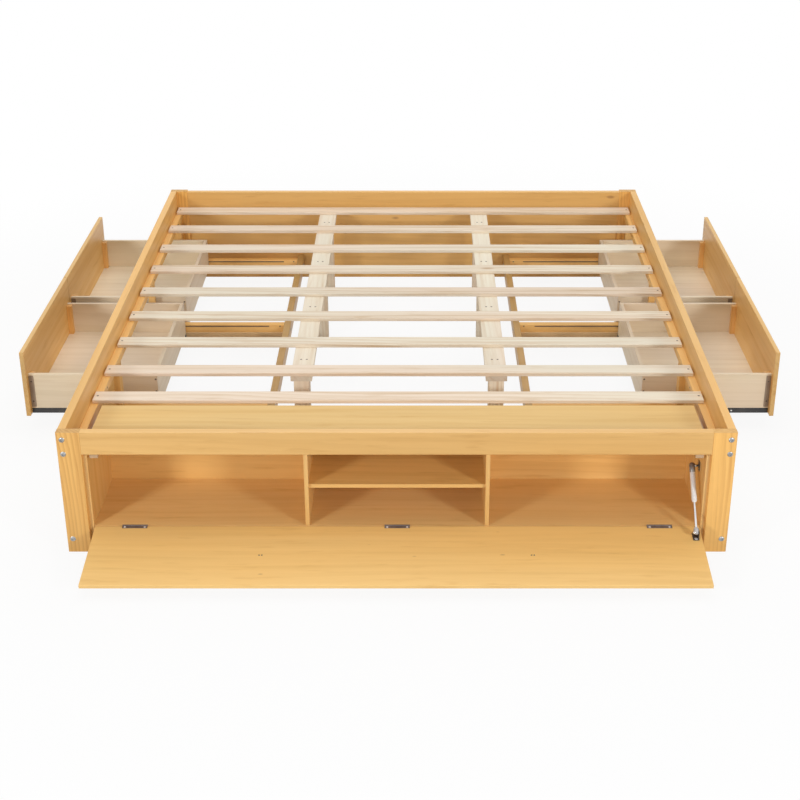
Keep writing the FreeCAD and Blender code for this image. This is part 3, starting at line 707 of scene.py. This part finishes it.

# Drawer guides: a thin dark brown strip along the near face of each board, painted shade for the shadow line
# of a groove there, and bolts through the inner rails

guideFix = dict(
    size=0.0075, rise=0.0022, recess=0.0016, stripDrop=0.0045, stripHeight=0.0042, stripProud=0.0008,
    stripStart=0.012, stripShort=0.058, stripSquareness=0.06, screwInset=0.016, screwSize=0.0030, rounding=4)
guideLow, guideHigh = low("drawer_guides"), high("drawer_guides")
guidePoints = np.array([vertex.co[:] for vertex in frame["nodes"]["drawer_guides"].data.vertices])
innerFace = nearestToMiddle("drawer_guides")
boardEnd = nearestToMiddle("fixed_runners")
boardOuter = np.abs(guidePoints[:, 0]).max()

# Boards are found from the corners past the inner rails: a wide step along the bed starts the next board
acrossPoints = guidePoints[np.abs(guidePoints[:, 0]) > boardEnd + guideFix["stripShort"]]
boardEdges = np.unique(np.round(acrossPoints[:, 1], guideFix["rounding"]))
boardStarts = boardEdges[np.concatenate([[True], np.diff(boardEdges) > guideFix["stripShort"]])]
boardWide = np.ptp(boardEdges[boardEdges < boardStarts[0] + guideFix["stripShort"]])
guideY = boardStarts + boardWide / 2
guideZ = (guideLow[2] + guideHigh[2]) / 2
stripTop = guideHigh[2] - guideFix["stripDrop"]
stripBase = stripTop - guideFix["stripHeight"]
stripLevel = stripTop - guideFix["stripHeight"] / 2
stripOuter, stripInner = boardOuter - guideFix["stripStart"], boardEnd + guideFix["stripShort"]
proud = guideFix["stripProud"]
for sideName, side in bothSides:
    places = [[side * innerFace, y, guideZ] for y in guideY]
    bolts("guideBolts" + sideName, places, (-side, 0, 0), guideFix)
    # The strips are painted shade: a dark line where a groove's shadow would fall
    stripX = sorted((side * stripOuter, side * stripInner))
    stripLows = [[stripX[0], y - proud, stripBase] for y in boardStarts]
    stripHighs = [[stripX[1], y + proud, stripTop] for y in boardStarts]
    roundedStrips("guideShadeStrips" + sideName, stripLows, stripHighs, "grooveShadeBrown", "frame",
                  guideFix["stripSquareness"])
    places = [[side * (boardEnd + guideFix["screwInset"]), y, stripLevel] for y in boardStarts]
    screws("guideScrews" + sideName, places, (0, -1, 0), "frame", guideFix["screwSize"], finish="screwDark")
print("guide fittings placed")

# Stage: white floor that keeps the shadow, white surroundings and soft lamps

stageLook = dict(
    floorSize=60.0, floorDrop=-0.0005, floorTone=opaque(0.86, 0.86, 0.86), white=opaque(1.0, 1.0, 1.0),
    liftSpan=(1.5, 3.0), lift=(0.90, 1.0), worldLight=0.32, seenLight=1.0)


def makeFloor():
    # The floor is matt for light; the camera sees it lifted to white, more so the further it is from the bed
    half = stageLook["floorSize"] / 2
    drop = stageLook["floorDrop"]
    mesh = bpy.data.meshes.new("studioFloor")
    corners = [(-half, -half, drop), (half, -half, drop), (half, half, drop), (-half, half, drop)]
    mesh.from_pydata(corners, [], [(0, 1, 2, 3)])
    floor = bpy.data.objects.new("studioFloor", mesh)
    bpy.context.scene.collection.objects.link(floor)
    finish = bpy.data.materials.new("floorWhite")
    finish.use_nodes = True
    tree = finish.node_tree
    tree.nodes.clear()
    matt = add(tree, "ShaderNodeBsdfDiffuse", {"Color": stageLook["floorTone"]})
    glow = add(tree, "ShaderNodeEmission", {"Color": stageLook["white"], "Strength": stageLook["seenLight"]})
    seen = seenShare(tree)
    place = add(tree, "ShaderNodeTexCoord").outputs["Object"]
    away = add(tree, "ShaderNodeVectorMath", {0: place}, operation="LENGTH").outputs["Value"]
    lift = rangeOf(tree, away, stageLook["liftSpan"], stageLook["lift"])
    share = maths(tree, "MULTIPLY", seen, lift)
    blend = add(tree, "ShaderNodeMixShader", {0: share, 1: matt.outputs[0], 2: glow.outputs[0]})
    output = add(tree, "ShaderNodeOutputMaterial")
    tree.links.new(blend.outputs[0], output.inputs["Surface"])
    mesh.materials.append(finish)


def makeSurroundings():
    # White where the camera sees it, and a low even light for everything else
    world = bpy.data.worlds.new("studio")
    bpy.context.scene.world = world
    world.use_nodes = True
    tree = world.node_tree
    tree.nodes.clear()
    seen = seenShare(tree)
    levels = (stageLook["worldLight"], stageLook["seenLight"])
    strength = rangeOf(tree, seen, (0.0, 1.0), levels, smooth=False)
    sky = add(tree, "ShaderNodeBackground", {"Color": stageLook["white"], "Strength": strength})
    output = add(tree, "ShaderNodeOutputWorld")
    tree.links.new(sky.outputs[0], output.inputs["Surface"])


lampLook = dict(
    overhead=dict(place=(0.0, 0.2, 4.6), aim=(0.0, 0.0, 0.2), size=(4.5, 4.5), power=100.0),
    leftFront=dict(place=(-3.6, -4.4, 2.2), aim=(0.0, -0.6, 0.2), size=(0.8, 0.8), power=98.0),
    rightFront=dict(place=(3.6, -4.4, 2.2), aim=(0.0, -0.6, 0.2), size=(0.8, 0.8), power=98.0),
    headSide=dict(place=(0.0, 4.2, 4.8), aim=(0.0, 0.6, 0.2), size=(3.5, 2.0), power=52.0))


def makeLamps():
    for name, look in lampLook.items():
        data = bpy.data.lights.new(name, "AREA")
        data.shape = "RECTANGLE"
        data.size, data.size_y = look["size"]
        data.energy = look["power"]
        lamp = bpy.data.objects.new(name, data)
        lamp.location = look["place"]
        way = Vector(look["aim"]) - Vector(look["place"])
        lamp.rotation_euler = way.to_track_quat("-Z", "Y").to_euler()
        bpy.context.scene.collection.objects.link(lamp)


# Camera: fitted to the corners of the frame, drawers and flap in the photograph

cameraLook = dict(
    place=(0.0624, -4.4565, 2.4317), level=90.0, pitch=23.501, lens=62.46, sensor=36.0,
    shift=(-0.0224, -0.15), clipEnd=200.0)


def makeCamera():
    data = bpy.data.cameras.new("camera")
    data.lens = cameraLook["lens"]
    data.sensor_width = cameraLook["sensor"]
    data.shift_x, data.shift_y = cameraLook["shift"]
    data.clip_end = cameraLook["clipEnd"]
    camera = bpy.data.objects.new("camera", data)
    camera.location = cameraLook["place"]
    camera.rotation_euler = (math.radians(cameraLook["level"] - cameraLook["pitch"]), 0.0, 0.0)
    bpy.context.scene.collection.objects.link(camera)
    bpy.context.scene.camera = camera


makeFloor()
makeSurroundings()
makeLamps()
makeCamera()
bpy.context.scene.view_settings.view_transform = "Standard"
print("stage, lamps and camera set")
